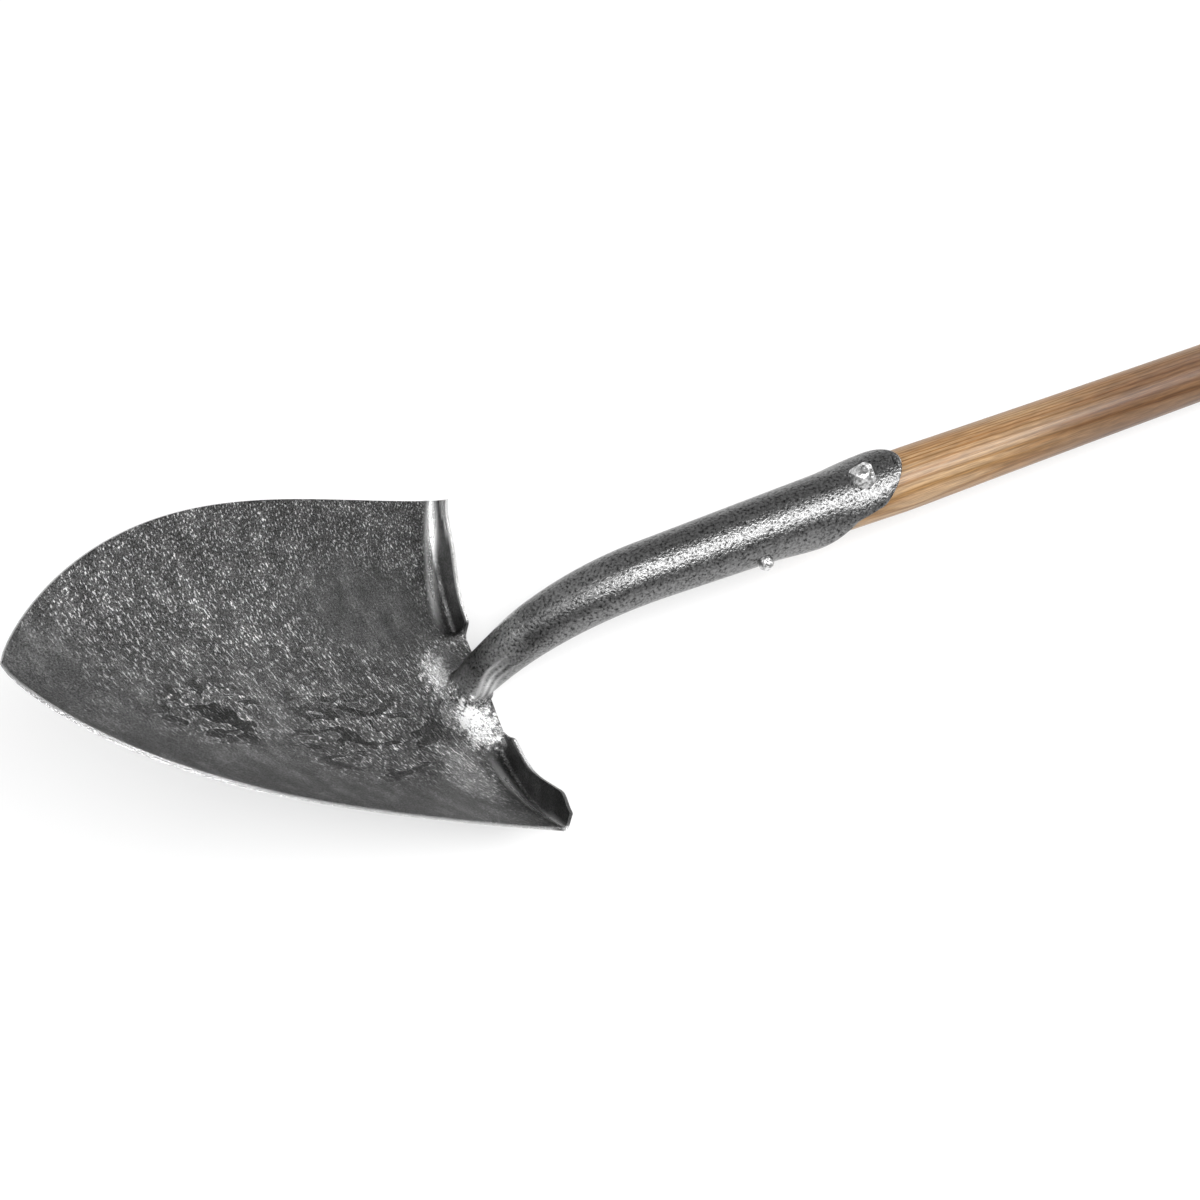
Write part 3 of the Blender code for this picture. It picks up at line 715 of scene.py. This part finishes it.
flecks = noise(tree, drawn_flecks, FLECK_SCALE, 2.0, roughness=0.7, distortion=0.2)
clouds = noise(tree, turned(tree, on_blade, GRAIN_TURN, CLOUD_STRETCH), CLOUD_SCALE, 4.0)
fleck_grey = shades(tree, flecks, ((0.53, 0.0), (0.59, 0.11), (0.66, 0.68)))
grit_grey = shades(tree, grit, ((0.34, 0.028), (0.50, 0.076), (0.66, 0.18)))
lively = mixed(tree, 1.0, grit_grey, fleck_grey, "ADD")
quiet = shades(tree, grit, ((0.34, 0.048), (0.66, 0.145)))
smooth_side = spot(tree, on_blade, *SMOOTH_SIDE)
mottled, pooled = [spot(tree, on_blade, *patch) for patch in STAINED_PATCHES]
stained = mixed(tree, 1.0, mottled, pooled, "LIGHTEN")
calm = mixed(tree, 1.0, spot(tree, on_blade, *WORN_PATCH), smooth_side, "LIGHTEN")
for patch in CALM_PATCHES:
    calm = mixed(tree, 1.0, calm, spot(tree, on_blade, *patch), "LIGHTEN")
calm = mixed(tree, stained, calm, 0.0)
calm = mixed(tree, 1.0, calm, CALM_SHARE, "MULTIPLY")
calm = mixed(tree, 1.0, calm, noted(tree, "on_step"), "LIGHTEN")
quiet = mixed(tree, smooth_side, quiet, mixed(tree, 1.0, quiet, SMOOTH_SIDE_GAIN, "MULTIPLY"))
blade_grey = mixed(tree, calm, lively, quiet)
cloud_shades = shades(tree, clouds, ((0.36, 0.70), (0.50, 0.88), (0.64, 1.22)))
blade_grey = mixed(tree, 1.0, blade_grey, cloud_shades, "MULTIPLY")

# Stains of quenching oil: dark pools with a thin light edge, drawn out up the blade
POOL_SCALE = 85.0
POOL_STRETCH = 2.4
POOL_STOPS = ((0.44, 0.40), (0.472, 0.52), (0.486, 3.5), (0.500, 1.1), (0.60, 1.0))
pools = noise(tree, turned(tree, on_blade, 0.0, POOL_STRETCH), POOL_SCALE, 3.0, distortion=0.9)
pooled_grey = mixed(tree, 1.0, blade_grey, shades(tree, pools, POOL_STOPS), "MULTIPLY")
blade_grey = mixed(tree, stained, blade_grey, pooled_grey)

# Painted highlights: patches with frayed edges round the foot of the neck, each with how much brighter
# it is. Then the rim and the tops of the steps, worn with a painted sheen, and the bends, with a
# painted highlight
FRAY_SCALE = 240.0
FRAY_REACH = (0.030, 0.030, 0.0)
PAINTED_HIGHLIGHT_PATCHES = (
    ((0.002, -0.026), (0.018, 0.020), 7.4),
    ((-0.014, -0.018), (0.021, 0.012), 3.6),
    ((-0.016, 0.009), (0.015, 0.023), 4.3),
    ((-0.027, -0.060), (0.024, 0.034), 2.8),
)
WEAR_AND_SHEEN_GREY = 0.80
values = {"Vector": on_blade, "Scale": FRAY_SCALE, "Detail": 3.0}
fray = add_node(tree, "ShaderNodeTexNoise", values).outputs["Color"]
values = {0: fray, 1: (0.5, 0.5, 0.5)}
fray = add_node(tree, "ShaderNodeVectorMath", values, operation="SUBTRACT").outputs["Vector"]
values = {0: fray, 1: FRAY_REACH, 2: on_blade}
frayed = add_node(tree, "ShaderNodeVectorMath", values, operation="MULTIPLY_ADD").outputs["Vector"]
for centre, size, gain in PAINTED_HIGHLIGHT_PATCHES:
    highlighted = mixed(tree, 1.0, blade_grey, gain, "MULTIPLY")
    blade_grey = mixed(tree, spot(tree, frayed, centre, size), blade_grey, highlighted)
blade_grey = mixed(tree, rubbed, blade_grey, WEAR_AND_SHEEN_GREY)

# The drawn neck and the rolled socket keep a darker, coarser scale. Painted light makes the foot of
# the neck paler, and the folds there carry painted highlights
SCALE_GRAIN = 600.0
NECK_FOOT_PAINTED_LIGHT = ((-0.008, 0.003, 0.018), (0.016, 0.026, 0.028))
NECK_FOOT_LIGHT_GAIN = 2.4
FOLD_HIGHLIGHT_GREY = 0.75
NECK_RELIEF = 0.88
NECK_ROUGHNESS = 0.28
WEAR_AND_SHEEN_ROUGHNESS = 0.24
scale_grain = noise(tree, place, SCALE_GRAIN, 3.0, roughness=0.6)
neck_grey = shades(tree, scale_grain, ((0.34, 0.027), (0.435, 0.136), (0.60, 0.245)))
lit_neck_grey = mixed(tree, 1.0, neck_grey, NECK_FOOT_LIGHT_GAIN, "MULTIPLY")
neck_grey = mixed(tree, spot(tree, on_blade, *NECK_FOOT_PAINTED_LIGHT), neck_grey, lit_neck_grey)
neck_grey = mixed(tree, rubbed, neck_grey, FOLD_HIGHLIGHT_GREY)
tree.links.new(mixed(tree, neck_part, blade_grey, neck_grey), steel.inputs["Base Color"])
steel.inputs["Metallic"].default_value = 1.0
blade_rough = mixed(tree, rubbed, shades(tree, flecks, ((0.38, 0.34), (0.66, 0.42))), WEAR_AND_SHEEN_ROUGHNESS)
tree.links.new(mixed(tree, neck_part, blade_rough, NECK_ROUGHNESS), steel.inputs["Roughness"])
relief = mixed(tree, neck_part, grit, mixed(tree, 1.0, scale_grain, NECK_RELIEF, "MULTIPLY"))
bump = add_node(tree, "ShaderNodeBump", {"Strength": 0.7, "Distance": 0.00085, "Height": relief})
tree.links.new(bump.outputs["Normal"], steel.inputs["Normal"])
head.data.materials.clear()
head.data.materials.append(forged)
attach(head, "root")
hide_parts("blade_and_socket")

# Handle: one straight stick of ash, turned on a lathe, tapered where it is driven into the socket,
# rounded at its butt and dipped in clear lacquer.
HANDLE_SLIM_RADIUS = 0.0156
HANDLE_SWELL = 0.0041
HANDLE_SWELL_LENGTH = 0.240
SWELL_FROM = 0.235
BUTT_FLAT_RADIUS = 0.0085
FIT = 0.0003
WOOD_LOW = 0.107
WOOD_CHAMFER = 0.003
WOOD_STEP = 0.010
SHAFT_RINGS = 40
BUTT_RINGS = 12
HANDLE_SIDES = 96


def shaft_radius(x):
    return HANDLE_SLIM_RADIUS + HANDLE_SWELL * math.exp(-(x - SWELL_FROM) / HANDLE_SWELL_LENGTH)


butt_radius = shaft_radius(BUTT_AT) - BUTT_FLAT_RADIUS
stick = [(bore_radius(WOOD_LOW) - FIT - WOOD_CHAMFER, WOOD_LOW)]
stick.append((bore_radius(WOOD_LOW + WOOD_CHAMFER) - FIT, WOOD_LOW + WOOD_CHAMFER))
stick.append((bore_radius(SOCKET_END) - FIT, SOCKET_END))
shaft_low = SOCKET_END + WOOD_STEP
shaft_high = BUTT_AT - butt_radius - WOOD_STEP
for step in range(SHAFT_RINGS + 1):
    x = shaft_low + (shaft_high - shaft_low) * step / SHAFT_RINGS
    stick.append((shaft_radius(x), x))
for step in range(BUTT_RINGS, -1, -1):
    angle = math.radians(90.0) * step / BUTT_RINGS
    radius = BUTT_FLAT_RADIUS + butt_radius * math.sin(angle)
    stick.append((radius, BUTT_AT - butt_radius * (1.0 - math.cos(angle))))


def turned_piece(name, profile, sides):
    """A solid round the X axis, drawn out ring by ring from one end of its profile to the other."""
    first_radius, first_x = profile[0]
    bpy.ops.object.select_all(action="DESELECT")
    bpy.ops.mesh.primitive_circle_add(
        vertices=sides, radius=first_radius, fill_type="NGON",
        location=(first_x, 0.0, 0.0), rotation=(0.0, math.radians(90.0), 0.0),
    )
    made = bpy.context.object
    made.name = name
    bpy.ops.object.transform_apply(location=True, rotation=True, scale=True)
    bpy.ops.object.mode_set(mode="EDIT")
    bpy.ops.mesh.select_all(action="SELECT")
    for (radius, x), (next_radius, next_x) in zip(profile, profile[1:]):
        bpy.ops.mesh.extrude_region_move(TRANSFORM_OT_translate={"value": (next_x - x, 0.0, 0.0)})
        swell = next_radius / radius
        bpy.ops.transform.resize(value=(1.0, swell, swell), center_override=(next_x, 0.0, 0.0))
    bpy.ops.mesh.select_all(action="SELECT")
    bpy.ops.mesh.normals_make_consistent(inside=False)
    bpy.ops.object.mode_set(mode="OBJECT")
    put_in_order(made)
    return made


handle = turned_piece("ash_handle", stick, HANDLE_SIDES)
handle.data.transform(lying)
bpy.ops.object.shade_smooth_by_angle(angle=math.radians(40.0))

ash = bpy.data.materials.new("lacquered_ash")
wood = shader_of(ash)
tree = ash.node_tree
place = add_node(tree, "ShaderNodeTexCoord").outputs["Object"]
to_bench = lying.inverted()
on_bench = add_node(
    tree, "ShaderNodeMapping",
    {"Vector": place, "Location": to_bench.translation, "Rotation": to_bench.to_euler()},
).outputs["Vector"]


def drawn_out(tree, place, along, move=(0.0, 0.0, 0.0)):
    """The place, for a pattern drawn out along the stick and moved off its middle."""
    values = {"Vector": place, "Location": move, "Scale": (along, 1.0, 1.0)}
    return add_node(tree, "ShaderNodeMapping", values).outputs["Vector"]


# Growth rings round a pith beside the stick, with fine pores and broad stripes, and painted shade
# on one side some way up the stick
RING_SCALE = 150.0
PORE_SCALE = 1500.0
STRIPE_SCALE = 110.0
ALONG_GRAIN = 0.05
PITH = (0.0, -0.052, 0.022)
EARLY_WOOD = (0.374, 0.240, 0.127)
LATE_WOOD = (0.263, 0.143, 0.052)
STRIPE_STOPS = ((0.36, (0.86, 0.74, 0.60)), (0.56, (1.0, 1.0, 1.0)), (0.70, (1.10, 1.12, 1.16)))
PAINTED_SHADE_SIDE = ((0.470, -0.012), (0.175, 0.034))
PAINTED_SHADE = (0.42, 0.345, 0.295)
rings = add_node(
    tree, "ShaderNodeTexWave",
    {
        "Vector": drawn_out(tree, on_bench, 0.06, PITH), "Scale": RING_SCALE, "Distortion": 9.0,
        "Detail": 3.0, "Detail Scale": 0.22, "Detail Roughness": 0.55,
    },
    wave_type="RINGS", rings_direction="X",
).outputs["Fac"]
pores = noise(tree, drawn_out(tree, on_bench, ALONG_GRAIN), PORE_SCALE, 2.0, roughness=0.6)
stripes = noise(tree, drawn_out(tree, on_bench, ALONG_GRAIN), STRIPE_SCALE, 3.0, distortion=0.8)
pore_shades = shades(tree, pores, ((0.36, 0.72), (0.52, 1.0), (0.66, 1.28)))
tone = shades(tree, rings, ((0.10, LATE_WOOD), (0.55, EARLY_WOOD)))
tone = mixed(tree, 1.0, tone, pore_shades, "MULTIPLY")
tone = mixed(tree, 1.0, tone, shades(tree, stripes, STRIPE_STOPS), "MULTIPLY")
shaded_tone = mixed(tree, 1.0, tone, PAINTED_SHADE, "MULTIPLY")
tone = mixed(tree, spot(tree, on_bench, *PAINTED_SHADE_SIDE), tone, shaded_tone)
tree.links.new(tone, wood.inputs["Base Color"])
wood.inputs["Roughness"].default_value = 0.40
bump = add_node(tree, "ShaderNodeBump", {"Strength": 0.15, "Distance": 0.0003, "Height": pores})
tree.links.new(bump.outputs["Normal"], wood.inputs["Normal"])
handle.data.materials.append(ash)
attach(handle, "root")
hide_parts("handle")

# Rivets: two steel pins through socket and wood. The large one is hammered down on the tongue, the
# small one crosses the socket lower down. Their heads keep the flats of the hammer.
FRONT_RIVET_AT = 0.235
SIDE_RIVET_AT = 0.165
RIVET_SHANK = 0.0030
HEAD_SINK = 0.0008
HEAD_UNDERCUT = 0.97
DOME_EDGE = 0.22
DOME_FLAT = math.radians(4.0)
DOME_RINGS = 12
RIVET_SIDES = 48
FLAT_MERGE = 0.00006
FLAT_ROUNDING = 0.00025
ROUNDED_MERGE = 0.00002
# The blows on the large head's rim: the lean in degrees, the place round the head, and the depth
RIM_BLOWS = ((66.0, 0.2, 0.0014), (75.0, 1.5, 0.0009), (70.0, 2.9, 0.0015), (72.0, 4.6, 0.0014))


def dome_point(size, lean):
    """(radius, height) of a domed head, where its surface leans by this angle."""
    radius, crown, seat = size
    return radius * math.sin(lean), seat + crown * (DOME_EDGE + (1.0 - DOME_EDGE) * math.cos(lean))


def hammered_rivet(name, x, turn, head_size, tail_size, blows):
    """A turned pin with a domed head and tail, flattened by the blows.

    A blow has its lean, its place round the pin, its depth, and 1 for the head or -1 for the tail.
    """
    lean_step = (math.radians(90.0) - DOME_FLAT) / DOME_RINGS
    leans = [DOME_FLAT + lean_step * ring for ring in range(DOME_RINGS + 1)]
    profile = [(radius, -height) for radius, height in (dome_point(tail_size, lean) for lean in leans)]
    profile.append((tail_size[0] * HEAD_UNDERCUT, -tail_size[2] + HEAD_SINK))
    profile.append((RIVET_SHANK, -tail_size[2] + HEAD_SINK))
    profile.append((RIVET_SHANK, head_size[2] - HEAD_SINK))
    profile.append((head_size[0] * HEAD_UNDERCUT, head_size[2] - HEAD_SINK))
    profile += [dome_point(head_size, lean) for lean in reversed(leans)]
    made = turned_piece(name, profile, RIVET_SIDES)
    bpy.ops.object.mode_set(mode="EDIT")
    for lean, around, depth, end in blows:
        radius, height = dome_point(head_size if end > 0 else tail_size, lean)
        outwards = Vector((0.0, math.cos(around), math.sin(around)))
        normal = Vector((end * math.cos(lean), 0.0, 0.0)) + outwards * math.sin(lean)
        touch = Vector((end * height, 0.0, 0.0)) + outwards * radius - normal * depth
        bpy.ops.mesh.select_all(action="SELECT")
        bpy.ops.mesh.bisect(
            plane_co=touch, plane_no=normal, use_fill=True, clear_outer=True, threshold=1e-7
        )
    bpy.ops.object.mode_set(mode="OBJECT")
    merge_close(FLAT_MERGE)
    soften = made.modifiers.new("soft_flats", "BEVEL")
    soften.width = FLAT_ROUNDING
    soften.segments = 2
    soften.limit_method = "ANGLE"
    soften.angle_limit = math.radians(12.0)
    bpy.ops.object.modifier_apply(modifier="soft_flats")
    merge_close(ROUNDED_MERGE)
    upright = Matrix.Rotation(math.radians(-90.0), 4, "Y")
    seated = Matrix.Translation((x, 0.0, 0.0)) @ Matrix.Rotation(turn, 4, "X")
    made.data.transform(lying @ seated @ upright)
    bpy.ops.object.shade_smooth_by_angle(angle=math.radians(22.0))
    return made


def blows_round(count, lean, spread, depth):
    """Blows one after the other round a head, each leaning a little more or less than the last."""
    for blow in range(count):
        deeper = 1.0 + 0.4 * math.cos(1.7 * blow)
        yield lean + spread * math.sin(2.3 * blow), 2.4 * blow, depth * deeper, 1


front_seat = outer_radius(FRONT_RIVET_AT) + flare(FRONT_RIVET_AT, 0.0)
side_seat = outer_radius(SIDE_RIVET_AT)
front_blows = [(math.radians(9.0), 0.6, 0.0006, 1), (math.radians(10.0), 1.0, 0.0005, -1)]
front_blows += blows_round(11, math.radians(44.0), math.radians(16.0), 0.00055)
front_blows += [(math.radians(lean), around, depth, 1) for lean, around, depth in RIM_BLOWS]
side_blows = [(math.radians(12.0), 0.4, 0.0004, 1), (math.radians(8.0), 2.0, 0.0002, -1)]
side_blows += blows_round(5, math.radians(46.0), math.radians(8.0), 0.0003)
front_head = (0.0083, 0.0080, front_seat)
front_tail = (0.0055, 0.0026, bore_radius(FRONT_RIVET_AT))
side_head = (0.0049, 0.0059, side_seat)
side_tail = (0.0042, 0.0012, side_seat)
front_rivet = hammered_rivet(
    "hammered_front_rivet", FRONT_RIVET_AT, 0.0, front_head, front_tail, front_blows
)
side_rivet = hammered_rivet(
    "hammered_side_rivet", SIDE_RIVET_AT, math.pi / 2.0, side_head, side_tail, side_blows
)
bright = bpy.data.materials.new("hammered_rivet_steel")
pin = shader_of(bright)
tree = bright.node_tree
place = add_node(tree, "ShaderNodeTexCoord").outputs["Object"]
dents = noise(tree, place, 420.0, 3.0)
tree.links.new(shades(tree, dents, ((0.38, 0.28), (0.60, 0.85))), pin.inputs["Base Color"])
pin.inputs["Metallic"].default_value = 1.0
pin.inputs["Roughness"].default_value = 0.32
bump = add_node(tree, "ShaderNodeBump", {"Strength": 0.9, "Distance": 0.0012, "Height": dents})
tree.links.new(bump.outputs["Normal"], pin.inputs["Normal"])
for rivet, node in ((front_rivet, "front_rivet"), (side_rivet, "side_rivet")):
    rivet.data.materials.append(bright)
    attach(rivet, "root")
    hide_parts(node)

# Studio: a white floor that keeps half of the shovel's shadow, a long soft lamp over the near side,
# weaker ones behind, beyond the tip and beside the butt, and a grey room for the steel to mirror.
FLOOR_SIZE = 12.0
FLOOR_GREY = 0.93
ROOM_LIGHT = 0.30
LAMPS_FACE = (-0.30, 0.0, 0.06)
bpy.ops.object.select_all(action="DESELECT")
bpy.ops.mesh.primitive_plane_add(size=FLOOR_SIZE)
floor = bpy.context.object
floor.name = "studio_floor"
paper = bpy.data.materials.new("floor_paper")
matt = shader_of(paper)
matt.inputs["Base Color"].default_value = (FLOOR_GREY, FLOOR_GREY, FLOOR_GREY, 1.0)
matt.inputs["Roughness"].default_value = 1.0
tree = paper.node_tree
ray = add_node(tree, "ShaderNodeLightPath").outputs
seen = mixed(tree, 1.0, ray["Is Camera Ray"], ray["Is Glossy Ray"], "ADD")
seen = mixed(tree, 1.0, seen, ray["Is Transmission Ray"], "ADD")
half_seen = mixed(tree, 1.0, seen, 0.5, "MULTIPLY")
values = {"Color": (1.0, 1.0, 1.0, 1.0), "Strength": 1.0}
white = add_node(tree, "ShaderNodeEmission", values).outputs["Emission"]
shown = add_node(tree, "ShaderNodeMixShader", {0: half_seen, 1: matt.outputs["BSDF"], 2: white})
tree.links.new(shown.outputs["Shader"], tree.nodes["Material Output"].inputs["Surface"])
floor.data.materials.append(paper)

world = bpy.data.worlds.new("studio_room")
bpy.context.scene.world = world
world.use_nodes = True
room = world.node_tree.nodes["Background"]
room.inputs["Color"].default_value = (1.0, 1.0, 1.0, 1.0)
room.inputs["Strength"].default_value = ROOM_LIGHT


def soft_lamp(name, towards, distance, size, power, level=False):
    """A lamp that faces the head, its long side along the handle or, if it is to be, level."""
    lamp = bpy.data.lights.new(name, "AREA")
    lamp.shape = "RECTANGLE"
    lamp.size, lamp.size_y = size
    lamp.energy = power
    placed = bpy.data.objects.new(name, lamp)
    bpy.context.scene.collection.objects.link(placed)
    towards = Vector(towards).normalized()
    sideways = Vector((1.0, 0.0, 0.0)) - towards * towards.x
    if level:
        sideways = Vector((-towards.y, towards.x, 0.0))
    sideways.normalize()
    turn = Matrix((sideways, towards.cross(sideways), towards)).transposed()
    stands_at = Vector(LAMPS_FACE) + towards * distance
    placed.matrix_world = Matrix.LocRotScale(stands_at, turn.to_quaternion(), None)


soft_lamp("key_lamp", (0.26, -0.38, 0.89), 2.4, (2.4, 0.85), 74.0)
soft_lamp("back_lamp", (-0.35, 0.75, 0.60), 2.6, (1.8, 1.2), 6.0)
soft_lamp("tip_lamp", (-0.58, -0.08, 0.81), 2.6, (1.4, 1.4), 12.0, level=True)
soft_lamp("side_lamp", (0.83, 0.46, 0.31), 2.4, (0.9, 0.7), 16.0, level=True)

# Camera: placed along the handle as the shovel was seen, and laid down with it
CAMERA_AT = (-0.0769, -0.3663, 0.7490)
CAMERA_TURNS = (27.267351, 0.181055, -21.955259)
CAMERA_LENS = 43.5
camera_data = bpy.data.cameras.new("photo_camera")
camera_data.lens = CAMERA_LENS
camera_data.sensor_width = 36.0
camera = bpy.data.objects.new("photo_camera", camera_data)
bpy.context.scene.collection.objects.link(camera)
camera_turns = Euler([math.radians(turn) for turn in CAMERA_TURNS])
camera.matrix_world = lying @ Matrix.LocRotScale(Vector(CAMERA_AT), camera_turns, None)
bpy.context.scene.camera = camera
bpy.context.scene.view_settings.view_transform = "Standard"
